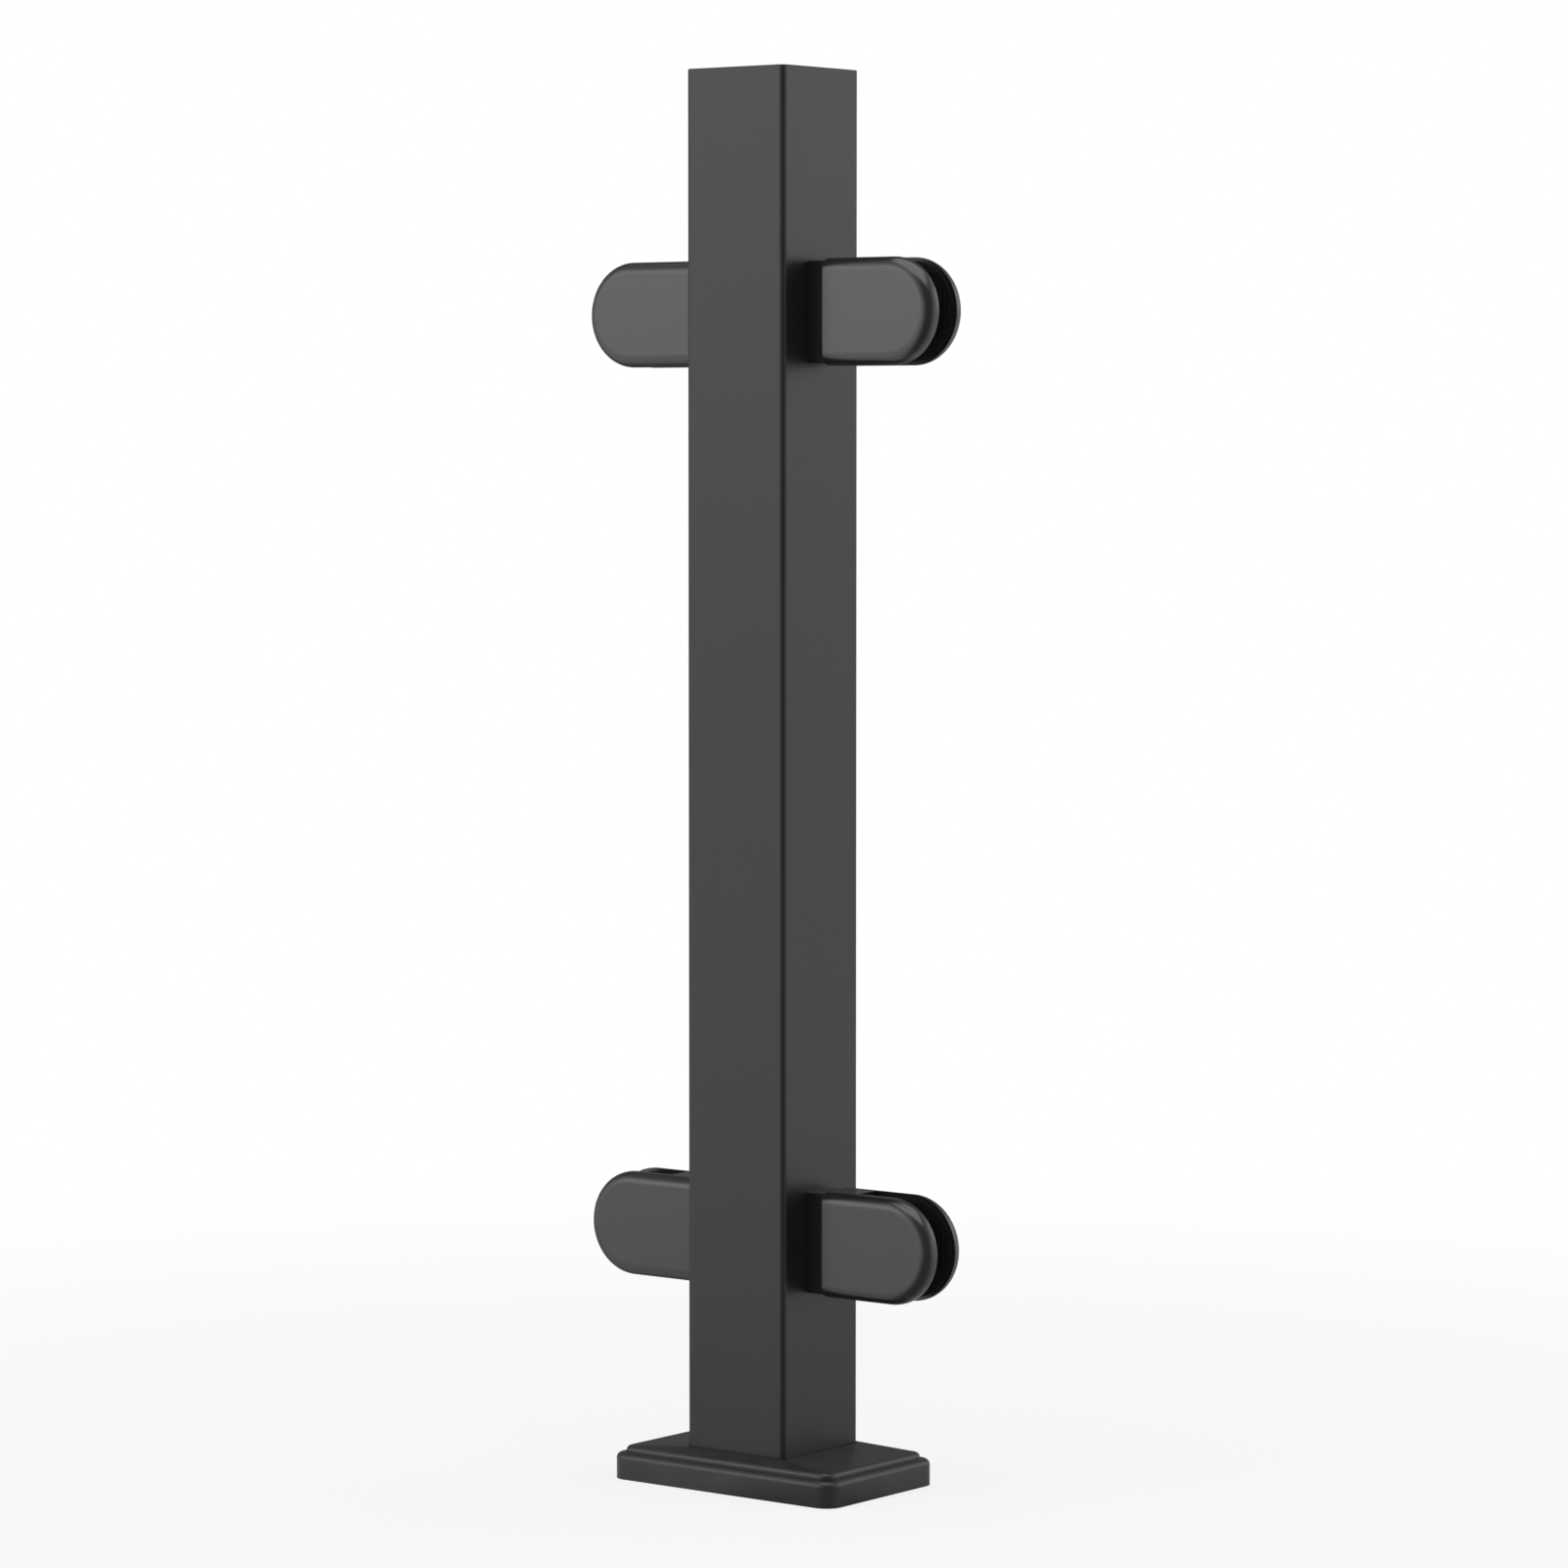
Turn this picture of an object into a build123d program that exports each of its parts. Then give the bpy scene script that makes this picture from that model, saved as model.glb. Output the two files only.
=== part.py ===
from build123d import *
import os

# A square railing post on a floor flange, with four clamps that each hold a glass panel.
# Millimetres, +Z up. The origin is on the floor, under the middle of the post.
# X runs along the line of the glass, and the clamps show their plain jaws towards -Y.

# Post tube
POST_HEIGHT = 575.0  # floor to the upper end of the tube
POST_SIDE = 50.0
POST_WALL = 2.0
POST_CORNER = 2.5  # outer radius along the tube's corners
POST_INNER_CORNER = 0.8
POST_END_BREAK = 0.3  # edge broken round the tube's upper end

# Plug pressed into the upper end of the tube
CAP_PLATE = 3.0
CAP_SKIRT_DEPTH = 15.0
CAP_SKIRT_WALL = 1.6
CAP_SKIRT_GAP = 0.5  # skirt to tube, bridged by the ribs
CAP_PLATE_GAP = 0.1
CAP_SINK = 0.3  # plate below the tube's end
CAP_RIB_WIDTH = 2.0
CAP_RIB_EDGE = 12.0  # tube's inner face to the nearest rib on the next side

# Floor flange, welded under the tube
FLANGE_END_MARGIN = 28.0  # flange past the post along X
FLANGE_SIDE_MARGIN = 7.0  # flange past the post along Y
FLANGE_THICK = 8.0
FLANGE_CORNER = 5.0
FLANGE_EDGE_BREAK = 0.6
ANCHOR_EDGE = 13.0  # flange edge to the middle of an anchor hole, along X and along Y
ANCHOR_HOLE = 9.0  # diameter
WELD_LEG = 4.0
WELD_TOE = 0.3  # thickness left at the weld's upper edge

# Cover that hides the flange and slides on the post
COVER_WALL = 1.5
COVER_SIDE_GAP = 2.5  # flange edge to the cover's side wall
COVER_FLANGE_GAP = 1.2  # flange top to the underside of the cover's ledge
COVER_WELD_GAP = 1.7  # weld to the underside of the cover's top
COVER_POST_GAP = 0.4
COVER_CORNER = 7.2
COVER_STEP_INSET = 3.4
COVER_STEP_RISE = 2.65
COVER_SLOPE_RISE = 1.9
COVER_LOWER_ROUND = 2.4
COVER_UPPER_ROUND = 2.0
COVER_LAND = 1.0  # flat rim round the hole for the post

# Clamps
UPPER_CLAMP_DROP = 98.0  # upper end of the tube to the middle of the upper clamps
LOWER_CLAMP_RISE = 101.5  # floor to the middle of the lower clamps
CLAMP_REACH = 63.0  # post face to the round end
CLAMP_HEIGHT = 43.0
SLOT_WIDTH = 12.0  # between the metal jaws
JAW_THICK = 6.0
JAW_ROUND = 5.0  # along the outer edge of a jaw
JAW_BACK_ROUND = 1.2  # along the jaw's upright edge beside the neck
NECK_LENGTH = 8.0
NECK_RECESS = 2.7  # neck behind the jaws' outer faces
NECK_HEIGHT_INSET = 1.0
NECK_ROUND = 0.8
NECK_GAP = 0.3  # neck to the loose front jaw
BLOCK_DEPTH = 23.5  # post face to the bottom of the glass slot

# Rubber pads between the jaws and the glass
GASKET_THICK = 1.0
GASKET_INSET = 1.5  # inside the jaw's outline
GASKET_START = 1.0  # from the bottom of the slot
GASKET_ROUND = 0.3
PEG_RADIUS = 1.9
PEG_LENGTH = 2.0
PEG_GAP = 0.1
PEG_EDGE = 9.0  # pad's end at the block to the first peg, and round end's centre line to the second

# Screw that fixes a clamp to the post, and the rivet nut in the tube wall
FIX_RADIUS = 3.0
FIX_HEAD_RADIUS = 5.0
FIX_HEAD = 6.0
FIX_HEAD_SINK = 1.0  # head below the bottom of the slot
FIX_HEAD_GAP = 0.5  # round the head
FIX_HOLE_GAP = 0.3  # round the shank
FIX_THREAD_REACH = 8.5  # screw tip past the post face
FIX_KEY = 5.0  # across the flats of the hexagon socket
FIX_KEY_DEPTH = 3.0
NUT_FLANGE_RADIUS = 6.5
NUT_FLANGE = 1.0
NUT_RECESS_GAP = 0.3  # round the nut's flange, and over it
NUT_BODY_RADIUS = 4.5
NUT_BULGE_RADIUS = 6.2
NUT_BULGE = 3.0
NUT_TAIL = 6.0  # nut past its bulge

# Two screws that pull the front jaw onto the glass, put in from the back
JAW_SCREW_RADIUS = 2.5
JAW_HEAD_RADIUS = 4.25
JAW_HEAD = 5.0
JAW_HEAD_SINK = 1.2
JAW_HEAD_GAP = 0.4
JAW_HOLE_GAP = 0.25
JAW_THREAD_GAP = 0.05  # running fit in the front jaw, which travels along the screws
JAW_SKIN = 1.5  # metal left in front of the blind threaded hole
JAW_TIP_GAP = 0.3
JAW_SCREW_EDGE = 9.2  # clamp's upper and lower side to the screw
JAW_KEY = 4.0
JAW_KEY_DEPTH = 2.5
SCREW_EDGE_BREAK = 0.5

# Places and sizes that follow from the ones above
HALF_POST = POST_SIDE / 2
BORE_SIDE = POST_SIDE - 2 * POST_WALL
FLANGE_LENGTH = POST_SIDE + 2 * FLANGE_END_MARGIN
FLANGE_WIDTH = POST_SIDE + 2 * FLANGE_SIDE_MARGIN
ANCHOR_X = FLANGE_LENGTH / 2 - ANCHOR_EDGE
ANCHOR_Y = FLANGE_WIDTH / 2 - ANCHOR_EDGE
COVER_LENGTH = FLANGE_LENGTH + 2 * (COVER_SIDE_GAP + COVER_WALL)
COVER_WIDTH = FLANGE_WIDTH + 2 * (COVER_SIDE_GAP + COVER_WALL)
COVER_LEDGE = FLANGE_THICK + COVER_FLANGE_GAP + COVER_WALL
COVER_STEP = COVER_LEDGE + COVER_STEP_RISE
COVER_TOP = max(COVER_STEP + COVER_SLOPE_RISE, FLANGE_THICK + WELD_LEG + COVER_WELD_GAP + COVER_WALL)
COVER_HOLE = POST_SIDE + 2 * COVER_POST_GAP
COVER_HOLE_CORNER = POST_CORNER + COVER_POST_GAP
HALF_SLOT = SLOT_WIDTH / 2
HALF_CLAMP = HALF_SLOT + JAW_THICK
HALF_HEIGHT = CLAMP_HEIGHT / 2
FIX_SEAT = BLOCK_DEPTH - FIX_HEAD_SINK - FIX_HEAD
JAW_SCREW_U = (NECK_LENGTH + BLOCK_DEPTH) / 2
JAW_SCREW_Z = HALF_HEIGHT - JAW_SCREW_EDGE
JAW_SEAT = HALF_CLAMP - JAW_HEAD_SINK - JAW_HEAD
JAW_TIP = HALF_CLAMP - JAW_SKIN - JAW_TIP_GAP
PAD_START = BLOCK_DEPTH + GASKET_START
PAD_END = CLAMP_REACH - GASKET_INSET
PAD_HEIGHT = CLAMP_HEIGHT - 2 * GASKET_INSET
PEGS = (PAD_START + PEG_EDGE, PAD_END - PAD_HEIGHT / 2 + PEG_EDGE)
CLAMP_LEVELS = {"upper": POST_HEIGHT - UPPER_CLAMP_DROP, "lower": LOWER_CLAMP_RISE}


# Basic forms

def block(x, y, z):
    """A box between two places on each axis, given as pairs."""
    size = [abs(high - low) for low, high in (x, y, z)]
    middle = [(low + high) / 2 for low, high in (x, y, z)]
    return Pos(*middle) * Box(*size)


def prism(length, width, corner, low, high):
    """An upright prism with rounded corners, centred on the post's axis."""
    return extrude(Pos(0, 0, low) * RectangleRounded(length, width, corner), amount=high - low)


def frustum(lower, upper, low, high):
    """A form between two rounded rectangles, each given as length, width and corner."""
    ends = [Pos(0, 0, low) * RectangleRounded(*lower), Pos(0, 0, high) * RectangleRounded(*upper)]
    return loft(ends, ruled=True)


def rod_along_x(radius, start, end, y=0, z=0):
    """A round rod along X, from start to end, both measured from the post's face."""
    return Pos(HALF_POST + (start + end) / 2, y, z) * Rot(0, 90, 0) * Cylinder(radius, abs(end - start))


def rod_along_y(radius, start, end, u, z=0):
    """A round rod along Y, at u from the post's face."""
    return Pos(HALF_POST + u, (start + end) / 2, z) * Rot(90, 0, 0) * Cylinder(radius, abs(end - start))


def round_ended_plate(start, end, height, low, high):
    """A plate from low to high along Y, with a half-round end away from the post."""
    radius = height / 2
    plane = Plane(origin=(HALF_POST, high, 0), x_dir=(1, 0, 0), z_dir=(0, -1, 0))
    straight = Pos((start + end - radius) / 2, 0) * Rectangle(end - radius - start, height)
    right_half = Pos(end - radius / 2, 0) * Rectangle(radius, height)
    outline = straight + (Pos(end - radius, 0) * Circle(radius) & right_half)
    return extrude(plane * outline, amount=high - low)


# Post, flange and cover

def post_tube():
    """Square tube, standing on the flange, with a hole for each rivet nut."""
    tube = prism(POST_SIDE, POST_SIDE, POST_CORNER, FLANGE_THICK, POST_HEIGHT)
    tube = chamfer(tube.faces().sort_by(Axis.Z)[-1].edges(), POST_END_BREAK)
    tube -= prism(BORE_SIDE, BORE_SIDE, POST_INNER_CORNER, FLANGE_THICK, POST_HEIGHT)
    for height in CLAMP_LEVELS.values():
        tube -= Pos(0, 0, height) * Rot(0, 90, 0) * Cylinder(NUT_BODY_RADIUS, 2 * POST_SIDE)
    return tube


def post_cap():
    """Plug with a flush plate, a skirt and ribs that grip the inside of the tube."""
    top = POST_HEIGHT - CAP_SINK
    plate_side = BORE_SIDE - 2 * CAP_PLATE_GAP
    skirt_side = BORE_SIDE - 2 * CAP_SKIRT_GAP
    hollow_side = skirt_side - 2 * CAP_SKIRT_WALL
    skirt_low = top - CAP_PLATE - CAP_SKIRT_DEPTH
    cap = prism(plate_side, plate_side, POST_INNER_CORNER, top - CAP_PLATE, top)
    skirt = prism(skirt_side, skirt_side, POST_INNER_CORNER, skirt_low, top - CAP_PLATE)
    skirt -= prism(hollow_side, hollow_side, POST_INNER_CORNER, skirt_low, top - CAP_PLATE)
    cap += skirt
    inner, outer = skirt_side / 2 - CAP_SKIRT_WALL / 2, BORE_SIDE / 2
    offset = BORE_SIDE / 2 - CAP_RIB_EDGE
    rib = block((inner, outer), (-CAP_RIB_WIDTH / 2, CAP_RIB_WIDTH / 2), (skirt_low, top - CAP_PLATE))
    for turn in (0, 90, 180, 270):
        for place in (-offset, offset):
            cap += Rot(0, 0, turn) * Pos(0, place, 0) * rib
    return cap


def base_flange():
    """Floor plate with four anchor holes."""
    flange = prism(FLANGE_LENGTH, FLANGE_WIDTH, FLANGE_CORNER, 0, FLANGE_THICK)
    flange = chamfer(flange.faces().sort_by(Axis.Z)[-1].edges(), FLANGE_EDGE_BREAK)
    for x in (-ANCHOR_X, ANCHOR_X):
        for y in (-ANCHOR_Y, ANCHOR_Y):
            flange -= Pos(x, y, FLANGE_THICK / 2) * Cylinder(ANCHOR_HOLE / 2, 2 * FLANGE_THICK)
    return flange


def weld_bead():
    """Fillet weld round the foot of the tube."""
    foot, toe = POST_SIDE + 2 * WELD_LEG, POST_SIDE + 2 * WELD_TOE
    top = FLANGE_THICK + WELD_LEG
    bead = frustum((foot, foot, POST_CORNER + WELD_LEG), (toe, toe, POST_CORNER + WELD_TOE), FLANGE_THICK, top)
    return bead - prism(POST_SIDE, POST_SIDE, POST_CORNER, FLANGE_THICK, top)


def cover_form(inset, lower_round=0.0, upper_round=0.0):
    """Body of the cover without its holes, drawn in by an inset on every side and at the top."""
    length, width, corner = COVER_LENGTH - 2 * inset, COVER_WIDTH - 2 * inset, COVER_CORNER - inset
    ledge, step, top = COVER_LEDGE - inset, COVER_STEP - inset, COVER_TOP - inset
    step_length, step_width = length - 2 * COVER_STEP_INSET, width - 2 * COVER_STEP_INSET
    step_corner = corner - COVER_STEP_INSET / 2
    skirt = prism(length, width, corner, 0, ledge)
    tier = prism(step_length, step_width, step_corner, 0, step)
    if lower_round:
        skirt = fillet(skirt.faces().sort_by(Axis.Z)[-1].edges(), lower_round)
    if upper_round:
        tier = fillet(tier.faces().sort_by(Axis.Z)[-1].edges(), upper_round)
    rim = COVER_HOLE + 2 * COVER_LAND
    slope_length, slope_width = step_length - 2 * COVER_UPPER_ROUND, step_width - 2 * COVER_UPPER_ROUND
    slope_foot = (slope_length, slope_width, step_corner - COVER_UPPER_ROUND)
    slope = frustum(slope_foot, (rim, rim, COVER_HOLE_CORNER + COVER_LAND), step, top)
    return skirt + tier + slope


def base_cover():
    """Stepped cover, open below, with a square hole for the post."""
    cover = cover_form(0, COVER_LOWER_ROUND, COVER_UPPER_ROUND) - cover_form(COVER_WALL)
    return cover - prism(COVER_HOLE, COVER_HOLE, COVER_HOLE_CORNER, 0, 2 * COVER_TOP)


# One clamp, on the +X face of the post and centred on z = 0

def jaw_outline(low, high, outer, start):
    """A jaw's plate, rounded along the edge of its outer face."""
    plate = round_ended_plate(start, CLAMP_REACH, CLAMP_HEIGHT, low, high)
    face = plate.faces().filter_by(Axis.Y).sort_by(Axis.Y)[0 if outer < 0 else -1]
    back_edge = face.edges().sort_by(Axis.X)[0]
    return fillet([edge for edge in face.edges() if edge != back_edge], JAW_ROUND)


def clamp_body():
    """Neck, block and rear jaw in one casting."""
    neck_half, neck_high = HALF_CLAMP - NECK_RECESS, HALF_HEIGHT - NECK_HEIGHT_INSET
    neck_x = (HALF_POST, HALF_POST + NECK_LENGTH)
    neck = block(neck_x, (-neck_half, neck_half), (-neck_high, neck_high))
    neck = fillet(neck.edges().filter_by(Axis.X), NECK_ROUND)
    block_x = (HALF_POST + NECK_LENGTH, HALF_POST + BLOCK_DEPTH)
    body = neck + block(block_x, (-HALF_SLOT, HALF_SLOT), (-HALF_HEIGHT, HALF_HEIGHT))
    body += jaw_outline(HALF_SLOT, HALF_CLAMP, 1, NECK_LENGTH)
    body -= rod_along_x(FIX_RADIUS + FIX_HOLE_GAP, 0, FIX_SEAT)
    body -= rod_along_x(FIX_HEAD_RADIUS + FIX_HEAD_GAP, FIX_SEAT, BLOCK_DEPTH)
    body -= rod_along_x(NUT_FLANGE_RADIUS + NUT_RECESS_GAP, 0, NUT_FLANGE + NUT_RECESS_GAP)
    for z in (-JAW_SCREW_Z, JAW_SCREW_Z):
        body -= rod_along_y(JAW_SCREW_RADIUS + JAW_HOLE_GAP, -HALF_SLOT, HALF_CLAMP, JAW_SCREW_U, z)
        body -= rod_along_y(JAW_HEAD_RADIUS + JAW_HEAD_GAP, JAW_SEAT, HALF_CLAMP, JAW_SCREW_U, z)
    for u in PEGS:
        body -= rod_along_y(PEG_RADIUS + PEG_GAP, HALF_SLOT, HALF_SLOT + PEG_LENGTH + PEG_GAP, u)
    return body


def front_jaw():
    """Loose jaw with blind threaded holes for the two jaw screws."""
    jaw = jaw_outline(-HALF_CLAMP, -HALF_SLOT, -1, NECK_LENGTH + NECK_GAP)
    upright = jaw.faces().sort_by(Axis.X)[0].edges().filter_by(Axis.Z).sort_by(Axis.Y)[0]
    jaw = fillet(upright, JAW_BACK_ROUND)
    for z in (-JAW_SCREW_Z, JAW_SCREW_Z):
        jaw -= rod_along_y(JAW_SCREW_RADIUS + JAW_THREAD_GAP, JAW_SKIN - HALF_CLAMP, -HALF_SLOT, JAW_SCREW_U, z)
    for u in PEGS:
        jaw -= rod_along_y(PEG_RADIUS + PEG_GAP, -HALF_SLOT - PEG_LENGTH - PEG_GAP, -HALF_SLOT, u)
    return jaw


def gasket(side):
    """Rubber pad with two pegs; side is 1 on the rear jaw and -1 on the front jaw."""
    seat, face = side * HALF_SLOT, side * (HALF_SLOT - GASKET_THICK)
    pad = round_ended_plate(PAD_START, PAD_END, PAD_HEIGHT, min(seat, face), max(seat, face))
    glass_side = pad.faces().filter_by(Axis.Y).sort_by(Axis.Y)[0 if side > 0 else -1]
    pad = fillet(glass_side.edges(), GASKET_ROUND)
    for u in PEGS:
        pad += rod_along_y(PEG_RADIUS, seat, seat + side * PEG_LENGTH, u)
    return pad


def cap_screw(radius, head_radius, head, length, key, key_depth):
    """Socket head screw along Z, with its head from z = 0 up and its shank down."""
    top = Pos(0, 0, head / 2) * Cylinder(head_radius, head)
    top = chamfer(top.edges().sort_by(Axis.Z)[-1], SCREW_EDGE_BREAK)
    socket = RegularPolygon(key / 2, 6, major_radius=False)
    top -= extrude(Pos(0, 0, head - key_depth) * socket, amount=key_depth)
    shank = Pos(0, 0, -length / 2) * Cylinder(radius, length)
    shank = chamfer(shank.edges().sort_by(Axis.Z)[0], SCREW_EDGE_BREAK)
    return top + shank


def fixing_screw():
    """Screw from the bottom of the glass slot into the rivet nut."""
    length = FIX_SEAT + FIX_THREAD_REACH
    screw = cap_screw(FIX_RADIUS, FIX_HEAD_RADIUS, FIX_HEAD, length, FIX_KEY, FIX_KEY_DEPTH)
    return Pos(HALF_POST + FIX_SEAT, 0, 0) * Rot(0, 90, 0) * screw


def jaw_screws():
    """The two screws of the front jaw, with their heads at the back."""
    length = JAW_SEAT + JAW_TIP
    screw = cap_screw(JAW_SCREW_RADIUS, JAW_HEAD_RADIUS, JAW_HEAD, length, JAW_KEY, JAW_KEY_DEPTH)
    lying = Pos(HALF_POST + JAW_SCREW_U, JAW_SEAT, 0) * Rot(-90, 0, 0) * screw
    return Compound([Pos(0, 0, z) * lying.solid() for z in (-JAW_SCREW_Z, JAW_SCREW_Z)])


def rivet_nut():
    """Threaded insert, set in the tube wall with a bulge behind it."""
    bulge_end = -POST_WALL - NUT_BULGE
    nut = rod_along_x(NUT_FLANGE_RADIUS, 0, NUT_FLANGE)
    nut += rod_along_x(NUT_BODY_RADIUS, bulge_end - NUT_TAIL, 0)
    nut += rod_along_x(NUT_BULGE_RADIUS, bulge_end, -POST_WALL)
    return nut - rod_along_x(FIX_RADIUS, bulge_end - NUT_TAIL, NUT_FLANGE)


def clamp_pieces():
    """Every piece of one clamp, by name."""
    return {
        "clamp_body": clamp_body(),
        "front_jaw": front_jaw(),
        "front_gasket": gasket(-1),
        "rear_gasket": gasket(1),
        "fixing_screw": fixing_screw(),
        "jaw_screws": jaw_screws(),
        "rivet_nut": rivet_nut(),
    }


def build():
    """All pieces of the post in their places, by node name."""
    nodes = {
        "post_tube": post_tube(),
        "post_cap": post_cap(),
        "base_flange": base_flange(),
        "weld_bead": weld_bead(),
        "base_cover": base_cover(),
    }
    for name, piece in clamp_pieces().items():
        for level, height in CLAMP_LEVELS.items():
            right = Pos(0, 0, height) * piece
            nodes[f"{level}_right_{name}"] = right
            nodes[f"{level}_left_{name}"] = mirror(right, about=Plane.YZ)
    return nodes


os.makedirs("parts", exist_ok=True)
for node, shape in build().items():
    export_step(shape, f"parts/{node}.step")
    print(node, len(shape.solids()), "solid,", round(shape.volume), "mm3")
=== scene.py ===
"""Looks of a black railing post with glass clamps, built around its packed construction."""

import logging
import math
from dataclasses import dataclass
from enum import Enum
from typing import Any, Iterable

import bmesh
import bpy
from mathutils import Matrix, Vector


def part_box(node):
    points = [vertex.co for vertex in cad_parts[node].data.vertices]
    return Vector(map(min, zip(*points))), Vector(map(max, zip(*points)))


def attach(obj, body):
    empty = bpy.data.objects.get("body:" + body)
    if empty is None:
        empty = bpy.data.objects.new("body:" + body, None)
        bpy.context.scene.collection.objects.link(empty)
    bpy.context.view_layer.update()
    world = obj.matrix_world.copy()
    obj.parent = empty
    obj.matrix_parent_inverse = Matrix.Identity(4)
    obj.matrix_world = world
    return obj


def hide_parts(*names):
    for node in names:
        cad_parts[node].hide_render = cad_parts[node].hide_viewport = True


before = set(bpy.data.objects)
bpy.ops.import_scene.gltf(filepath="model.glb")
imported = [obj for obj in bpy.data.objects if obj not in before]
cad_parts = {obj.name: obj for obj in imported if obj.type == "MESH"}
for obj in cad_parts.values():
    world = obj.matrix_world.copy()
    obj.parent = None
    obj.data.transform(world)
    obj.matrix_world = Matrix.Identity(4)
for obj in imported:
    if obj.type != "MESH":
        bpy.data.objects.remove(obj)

log = logging.getLogger("railing_post")
MM = 0.001
IMAGE_SIDE = 1601
WHITE = (1.0, 1.0, 1.0, 1.0)
PATTERN_MEAN = 0.5

Number = Any
Colour = tuple[float, float, float]


class Level(Enum):
    """Height of a clamp on the post."""

    UPPER = "upper"
    LOWER = "lower"


class Side(Enum):
    """Side of the post that a clamp stands on, as a sign along X."""

    RIGHT = 1
    LEFT = -1


class Jaw(Enum):
    """One of a clamp's two jaws, as the sign along Y of the side of the slot it lies on."""

    FRONT = -1
    REAR = 1


# Node trees

class Sock:
    """A node's output that takes part in Python expressions."""

    def __init__(self, tree: "Tree", socket: bpy.types.NodeSocket | None) -> None:
        """Wraps an output of a tree."""
        self.tree = tree
        self.socket = socket

    def math(self, operation: str, *values: Number) -> "Sock":
        """Adds a Math node.

        Args:
            operation: The node's operation.
            values: Its inputs, in order.

        Returns:
            The node's output.
        """
        return self.tree.add("ShaderNodeMath", {"operation": operation}, dict(enumerate(values)))

    def __add__(self, other: Number) -> "Sock":
        """Sum."""
        return self.math("ADD", self, other)

    def __radd__(self, other: Number) -> "Sock":
        """Sum with the number first."""
        return self.math("ADD", other, self)

    def __sub__(self, other: Number) -> "Sock":
        """Difference."""
        return self.math("SUBTRACT", self, other)

    def __rsub__(self, other: Number) -> "Sock":
        """Difference with the number first."""
        return self.math("SUBTRACT", other, self)

    def __mul__(self, other: Number) -> "Sock":
        """Product."""
        return self.math("MULTIPLY", self, other)

    def __truediv__(self, other: Number) -> "Sock":
        """Quotient."""
        return self.math("DIVIDE", self, other)

    def maximum(self, other: Number) -> "Sock":
        """The larger of two values."""
        return self.math("MAXIMUM", self, other)

    def __neg__(self) -> "Sock":
        """The value with its sign turned."""
        return self.math("MULTIPLY", self, -1.0)

    def root(self) -> "Sock":
        """Square root."""
        return self.math("SQRT", self)

    def around(self, mean: float, depth: float) -> "Sock":
        """Turns a noise pattern into one that varies around a value.

        Args:
            mean: The value it varies around.
            depth: Factor on how far it varies.

        Returns:
            The pattern around the mean.
        """
        return mean + (self - PATTERN_MEAN) * depth

    def ramp(self, low: Number, high: Number, to_low: float = 0.0, to_high: float = 1.0) -> "Sock":
        """Maps a range smoothly onto another.

        Args:
            low: Value that becomes to_low.
            high: Value that becomes to_high.
            to_low: Result at and below low.
            to_high: Result at and above high.

        Returns:
            The mapped value.
        """
        limits = {"Value": self, "From Min": low, "From Max": high, "To Min": to_low, "To Max": to_high}
        return self.tree.add("ShaderNodeMapRange", {"interpolation_type": "SMOOTHSTEP"}, limits)


class Tree:
    """A shader or geometry node tree with one way to add any node."""

    def __init__(self, tree: bpy.types.NodeTree) -> None:
        """Starts on an existing tree and empties it."""
        self.tree = tree
        self.tree.nodes.clear()

    def add(self, kind: str, settings: dict[str, Any] | None = None,
            inputs: dict[int | str, Number] | None = None, out: int | str = 0) -> Sock:
        """Adds a node, sets it up and links its inputs.

        Args:
            kind: The node's type.
            settings: Attributes to set first.
            inputs: Values or outputs for its inputs, by index or name.
            out: The output to return, by index or name.

        Returns:
            The chosen output, or an empty one where the node has none.
        """
        node = self.tree.nodes.new(kind)
        for key, value in (settings or {}).items():
            setattr(node, key, value)
        for key, value in (inputs or {}).items():
            target = node.inputs[key]
            if isinstance(value, Sock):
                self.tree.links.new(value.socket, target)
            else:
                target.default_value = value
        return Sock(self, node.outputs[out] if len(node.outputs) else None)

    def place(self) -> Sock:
        """Object coordinates, in metres."""
        return self.add("ShaderNodeTexCoord", out="Object")

    def noise(self, vector: Sock, scale: float, stretch: Vector | None = None,
              detail: float = 2.0) -> Sock:
        """A noise pattern around 0.5.

        Args:
            vector: Where to read it.
            scale: Cells to a metre.
            stretch: Factors on each axis, below 1 where the pattern is long.
            detail: Octaves.

        Returns:
            The pattern's value.
        """
        if stretch is not None:
            vector = self.add("ShaderNodeMapping", {"vector_type": "POINT"},
                              {"Vector": vector, "Scale": tuple(stretch)})
        return self.add("ShaderNodeTexNoise", None, {"Vector": vector, "Scale": scale, "Detail": detail})

    def tinted(self, colour: Colour, shade: Sock) -> Sock:
        """A colour with its brightness varied.

        Args:
            colour: Linear colour.
            shade: Factor around 1.

        Returns:
            The varied colour.
        """
        return self.add("ShaderNodeVectorMath", {"operation": "SCALE"}, {0: colour, "Scale": shade})

    def bump(self, height: Sock, distance: float, strength: float) -> Sock:
        """A surface normal that follows a pattern.

        Args:
            height: The pattern.
            distance: Height of its peaks, in metres.
            strength: Share of the effect.

        Returns:
            The normal.
        """
        return self.add("ShaderNodeBump", None,
                        {"Strength": strength, "Distance": distance, "Height": height})

    def finished(self, surface: dict[str, Number]) -> None:
        """Ends a material tree with one principled surface.

        Args:
            surface: Values or outputs for the surface's inputs.
        """
        made = self.add("ShaderNodeBsdfPrincipled", None, surface)
        self.add("ShaderNodeOutputMaterial", None, {"Surface": made})


# Finishes

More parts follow.
